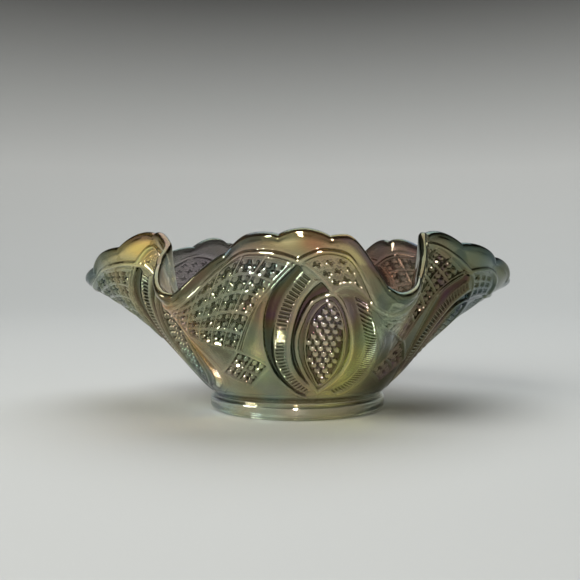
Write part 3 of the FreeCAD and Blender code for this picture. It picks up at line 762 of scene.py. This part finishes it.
def glass_material(name):
    """Smoke glass under a thin rainbow film, coloured by the stains and painted light, with painted
    shade in the pattern's hollows and painted highlights on its raised parts.
    """
    material = bpy.data.materials.new(name)
    material.use_nodes = True
    tree = material.node_tree
    tree.nodes.clear()
    make, link = tree.nodes.new, tree.links.new
    out = make("ShaderNodeOutputMaterial")
    glass = make("ShaderNodeBsdfPrincipled")
    link(glass.outputs[0], out.inputs[0])
    coordinates = make("ShaderNodeTexCoord")
    tint = make("ShaderNodeAttribute")
    tint.attribute_name = "tint"

    def noise(scale, detail, rough, distortion=0.0):
        node = make("ShaderNodeTexNoise")
        node.inputs["Scale"].default_value = scale
        node.inputs["Detail"].default_value = detail
        node.inputs["Roughness"].default_value = rough
        node.inputs["Distortion"].default_value = distortion
        link(coordinates.outputs["Object"], node.inputs["Vector"])
        return node

    def ranged(source, start, stop, low, high):
        node = make("ShaderNodeMapRange")
        node.inputs["From Min"].default_value = start
        node.inputs["From Max"].default_value = stop
        node.inputs["To Min"].default_value = low
        node.inputs["To Max"].default_value = high
        link(source, node.inputs["Value"])
        return node.outputs["Result"]

    def multiplied(first, second, factor):
        node = make("ShaderNodeMix")
        node.data_type = "RGBA"
        node.blend_type = "MULTIPLY"
        node.inputs["Factor"].default_value = factor
        link(first, node.inputs["A"])
        link(second, node.inputs["B"])
        return node

    film = noise(26.0, 2.0, 0.5, 0.6)
    sheen = make("ShaderNodeValToRGB")
    stops = [
        (0.30, (0.92, 0.84, 1.0)), (0.42, (0.86, 1.0, 0.95)), (0.50, (1.0, 1.0, 0.90)),
        (0.58, (1.0, 0.93, 0.68)), (0.70, (1.0, 0.86, 0.72)),
    ]
    while len(sheen.color_ramp.elements) < len(stops):
        sheen.color_ramp.elements.new(0.5)
    for element, (place, colour) in zip(sheen.color_ramp.elements, stops):
        element.position = place
        element.color = (*colour, 1.0)
    link(film.outputs["Fac"], sheen.inputs["Fac"])
    filmed = multiplied(tint.outputs["Color"], sheen.outputs["Color"], 0.8)

    # painted shade and highlight: the colour is darkened in the hollows of the pressed pattern and
    # lightened on its raised parts
    pressed = make("ShaderNodeAttribute")
    pressed.attribute_name = "pressed"
    shade = ranged(pressed.outputs["Fac"], -1.1, 0.7, 0.06, 1.95)
    painted_shading_mix = multiplied(filmed.outputs["Result"], shade, 1.0)
    painted_shading_mix.clamp_result = True
    link(painted_shading_mix.outputs["Result"], glass.inputs["Base Color"])
    glass.inputs["Metallic"].default_value = 0.3

    # a film of uneven thickness, in nanometres, carries the rainbow
    nanometres = ranged(film.outputs["Fac"], 0.3, 0.7, 215.0, 330.0)
    link(nanometres, glass.inputs["Thin Film Thickness"])
    glass.inputs["Thin Film IOR"].default_value = 1.72
    glass.inputs["IOR"].default_value = 1.52
    glass.inputs["Transmission Weight"].default_value = 1.0

    smear = noise(60.0, 3.0, 0.6)
    link(ranged(smear.outputs["Fac"], 0.0, 1.0, 0.02, 0.09), glass.inputs["Roughness"])
    ripple = noise(180.0, 2.0, 0.5)
    bump = make("ShaderNodeBump")
    bump.inputs["Strength"].default_value = 0.12
    bump.inputs["Distance"].default_value = 0.0004
    link(ripple.outputs["Fac"], bump.inputs["Height"])
    link(bump.outputs["Normal"], glass.inputs["Normal"])
    return material


GLASS = glass_material("iridescent_smoke_glass")

# ------------------------------------------------------------------ pieces

# each point's ring along the skin, and its share of the turn round the bowl
ring_of = np.concatenate([
    np.repeat(np.arange(len(rings)), [len(r) for r in rings]), [-1, len(rings)]])
turn_of = np.concatenate([np.arange(len(r)) / len(r) for r in rings] + [np.zeros(2)])


def unrolled(groups):
    """The faces laid out flat: round the bowl by column, and along the skin by ring."""
    across, along = [], []
    for faces in groups:
        turn = turn_of[faces]
        pole = faces >= bottom_pole
        turn[pole] = np.nan
        wrapped = (np.nanmax(turn, 1) - np.nanmin(turn, 1) > 0.5)[:, None] & (turn < 0.5)
        turn[wrapped] += 1.0
        turn = np.where(pole, np.nanmean(turn, 1)[:, None], turn)
        across.append(turn.ravel())
        along.append(ring_of[faces].ravel())
    flat = np.stack([np.concatenate(across), np.concatenate(along).astype(float)], -1)
    flat = (flat - flat.min(0)) / (flat.max(0) - flat.min(0))
    return 0.002 + 0.996 * flat


def make_piece(name, region, nodes):
    """One region of the skin as an object that stands for some of the part's nodes."""
    groups = [np.vstack(store[region]) for store in (quads, triangles) if region in store]
    used = np.unique(np.concatenate([g.ravel() for g in groups]))
    back = np.full(len(places), -1)
    back[used] = np.arange(len(used))
    loops = np.concatenate([back[g].ravel() for g in groups])
    sizes = np.concatenate([np.full(len(g), g.shape[1]) for g in groups])
    mesh = bpy.data.meshes.new(name)
    mesh.vertices.add(len(used))
    mesh.vertices.foreach_set("co", (places[used] / 1000.0).astype(np.float32).ravel())
    mesh.loops.add(len(loops))
    mesh.loops.foreach_set("vertex_index", loops.astype(np.int32))
    mesh.polygons.add(len(sizes))
    begin = np.concatenate([[0], np.cumsum(sizes)[:-1]])
    mesh.polygons.foreach_set("loop_start", begin.astype(np.int32))
    mesh.polygons.foreach_set("loop_total", sizes.astype(np.int32))
    mesh.update(calc_edges=True)
    mesh.polygons.foreach_set("use_smooth", np.ones(len(sizes), bool))
    colour = mesh.attributes.new("tint", "FLOAT_COLOR", "POINT")
    rgba = np.ones((len(used), 4), np.float32)
    rgba[:, :3] = tints[used]
    colour.data.foreach_set("color", rgba.ravel())
    pressed = mesh.attributes.new("pressed", "FLOAT", "POINT")
    pressed.data.foreach_set("value", shown_relief[used].astype(np.float32))
    bake = mesh.uv_layers.new(name="OFBake")
    bake.uv.foreach_set("vector", unrolled(groups).astype(np.float32).ravel())
    mesh.normals_split_custom_set_from_vertices(normals[used].tolist())
    mesh.materials.append(GLASS)
    piece = bpy.data.objects.new(name, mesh)
    bpy.context.scene.collection.objects.link(piece)
    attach(piece, "root")
    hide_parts(*nodes)
    return piece


PATTERN_NODES = (
    "medallion_frames", "file_bars", "cane_buttons", "arch_ribs", "strap_ribs", "fan_blocks",
    "diamond_blocks")
for name in SECTORS:
    make_piece(name, name, ("lower_wall", "fluted_wall") + PATTERN_NODES)
make_piece("scalloped_rim", "rim", ("rim_band",))
make_piece("smooth_inside", "inside", ("bowl_floor", "lower_wall", "fluted_wall"))
make_piece("collar_foot_skin", "foot", ("collar_foot", "bowl_floor"))

# ------------------------------------------------------------------ studio


def plain_material(name, colour, roughness):
    """One even, dull colour."""
    material = bpy.data.materials.new(name)
    material.use_nodes = True
    shader = material.node_tree.nodes["Principled BSDF"]
    shader.inputs["Base Color"].default_value = (*colour, 1.0)
    shader.inputs["Roughness"].default_value = roughness
    shader.inputs["Specular IOR Level"].default_value = 0.2
    return material


def cove_material():
    """Pale at the floor and darker up the wall: painted shade, as a studio's cove is dark above its
    lit part.
    """
    material = plain_material("pale_floor_painted_shade", (0.6, 0.6, 0.6), 0.8)
    tree = material.node_tree
    coordinates = tree.nodes.new("ShaderNodeTexCoord")
    parts = tree.nodes.new("ShaderNodeSeparateXYZ")
    # painted shade: pale up to 0.25 m, falling to nearly black by 0.75 m
    shade = tree.nodes.new("ShaderNodeValToRGB")
    shade.color_ramp.elements[0].position = 0.25
    shade.color_ramp.elements[0].color = (0.56, 0.56, 0.54, 1.0)
    shade.color_ramp.elements[1].position = 0.75
    shade.color_ramp.elements[1].color = (0.035, 0.034, 0.03, 1.0)
    floor = shade.color_ramp.elements.new(0.01)
    floor.color = (0.58, 0.59, 0.575, 1.0)
    tree.links.new(coordinates.outputs["Object"], parts.inputs[0])
    tree.links.new(parts.outputs["Z"], shade.inputs["Fac"])
    tree.links.new(shade.outputs["Color"], tree.nodes["Principled BSDF"].inputs["Base Color"])
    return material


def cove():
    """A pale floor that turns up into a wall all round, seen from inside."""
    flat, bend, top, count = 0.8, 0.9, 1.5, 96
    outline = [(0.0, 0.0), (0.3, 0.0), (0.6, 0.0), (flat, 0.0)]
    for t in range(10, 91, 8):
        turn = math.radians(t)
        outline.append((flat + bend * math.sin(turn), bend - bend * math.cos(turn)))
    outline.append((flat + bend, top))
    verts = [(0.0, 0.0, 0.0)]
    for r, z in outline[1:]:
        for i in range(count):
            turn = 2.0 * math.pi * i / count
            verts.append((r * math.cos(turn), r * math.sin(turn), z))
    faces = [(0, 1 + i, 1 + (i + 1) % count) for i in range(count)]
    for row in range(len(outline) - 2):
        a, b = 1 + row * count, 1 + (row + 1) * count
        faces += [(a + i, b + i, b + (i + 1) % count, a + (i + 1) % count) for i in range(count)]
    mesh = bpy.data.meshes.new("cove")
    mesh.from_pydata(verts, [], faces)
    mesh.polygons.foreach_set("use_smooth", [True] * len(faces))
    mesh.materials.append(cove_material())
    piece = bpy.data.objects.new("cove", mesh)
    bpy.context.scene.collection.objects.link(piece)
    return piece


cove()


def lamp(name, place, target, size, power, colour):
    """A round lamp at a place, turned to face a target."""
    light = bpy.data.lights.new(name, "AREA")
    light.shape = "DISK"
    light.size = size
    light.energy = power
    light.color = colour
    item = bpy.data.objects.new(name, light)
    item.location = place
    way = Vector(target) - Vector(place)
    item.rotation_euler = way.to_track_quat("-Z", "Y").to_euler()
    bpy.context.scene.collection.objects.link(item)
    return item


key_light = lamp("key", (-0.75, -0.85, 0.95), (0, 0, 0.03), 1.1, 13.5, (1.0, 0.97, 0.92))
flash_light = lamp("flash", (-0.02, -0.52, 0.16), (0, 0, 0.04), 0.045, 3.8, (1.0, 0.97, 0.93))
lamp("top", (0.2, 0.5, 1.4), (0, 0.2, 0.0), 1.8, 19.0, (0.95, 0.98, 1.0))
window_light = lamp("window", (-0.80, -0.38, 0.34), (0, 0, 0.04), 0.32, 4.0, (0.82, 0.92, 1.0))
# the key lights the floor and the glass evenly; the flash and the window only gleam in the glass
key_light.visible_glossy = False
flash_light.visible_diffuse = False
window_light.visible_diffuse = False

world = bpy.data.worlds.new("studio")
world.use_nodes = True
world.node_tree.nodes["Background"].inputs["Color"].default_value = (0.86, 0.88, 0.90, 1.0)
world.node_tree.nodes["Background"].inputs["Strength"].default_value = 0.12
bpy.context.scene.world = world

# the eye is straight in front of the front crest, a little below its top, and looks slightly down
camera_data = bpy.data.cameras.new("camera")
camera_data.lens = 54.92
camera_data.sensor_width = 36.0
camera = bpy.data.objects.new("camera", camera_data)
camera.location = (-0.0005, -0.4642, 0.0820)
camera.rotation_euler = (math.radians(90.0 - 2.60), 0.0, math.radians(0.416))
bpy.context.scene.collection.objects.link(camera)
bpy.context.scene.camera = camera

scene = bpy.context.scene
scene.view_settings.view_transform = "Standard"
scene.cycles.max_bounces = 24
scene.cycles.transmission_bounces = 20
scene.cycles.glossy_bounces = 6
scene.cycles.diffuse_bounces = 3
scene.cycles.sample_clamp_indirect = 6.0
scene.cycles.blur_glossy = 0.3
scene.cycles.use_denoising = True
